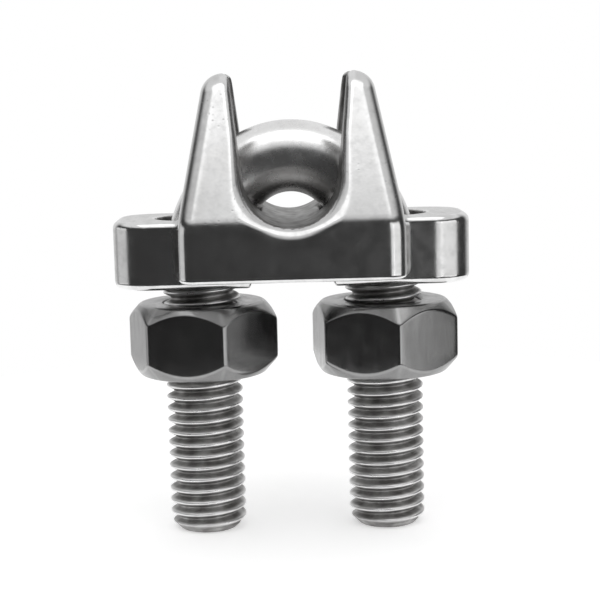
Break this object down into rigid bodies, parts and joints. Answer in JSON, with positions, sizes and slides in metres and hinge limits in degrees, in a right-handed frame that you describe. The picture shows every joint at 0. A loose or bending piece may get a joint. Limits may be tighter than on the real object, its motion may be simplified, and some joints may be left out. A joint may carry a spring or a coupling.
{
  "type": "wire rope clip",
  "caption": "Forged-pattern U-bolt clip that clamps two parts of wire rope between a grooved saddle and the bow of a U-bolt, tightened by a hexagon nut on each leg.",
  "frame": {"origin": "centre of the rope seat: on the axis of the groove, midway along the saddle, in the plane of the U-bolt", "axes": "+Y along the rope, +X towards the right lug, +Z from the nuts towards the bow of the U-bolt"},
  "size_m": [0.058, 0.044, 0.0758],
  "materials": {
    "saddle_steel": "cast stainless steel, tumbled to a soft satin polish, bright on raised faces and duller in the hollows",
    "bolt_steel": "satin drawn bar with a rolled thread on each leg, darker in the thread roots",
    "nut_steel": "satin machined steel with fine turned marks on the faces and worn bright corners"
  },
  "bodies": {
    "saddle": {"saddle": "saddle_steel"},
    "u_bolt": {"u_bolt": "bolt_steel"},
    "left_nut": {"left_nut": "nut_steel"},
    "right_nut": {"right_nut": "nut_steel"}
  },
  "joints": [
    {"name": "u_bolt_slide", "type": "slide", "parent": "saddle", "child": "u_bolt", "axis": [0, 0, 1], "range_m": [0, 0.0205]},
    {"name": "left_nut_turn", "type": "hinge", "parent": "saddle", "child": "left_nut", "pos_m": [-0.0151, 0, -0.0273], "axis": [0, 0, -1], "range_deg": [0, 3780]},
    {"name": "right_nut_turn", "type": "hinge", "parent": "saddle", "child": "right_nut", "pos_m": [0.0151, 0, -0.0277], "axis": [0, 0, -1], "range_deg": [0, 3780]}
  ],
  "couplings": [
    {"joint": "left_nut_turn", "follows": "u_bolt_slide", "rad_per_m": 3215.8},
    {"joint": "right_nut_turn", "follows": "u_bolt_slide", "rad_per_m": 3215.8}
  ]
}
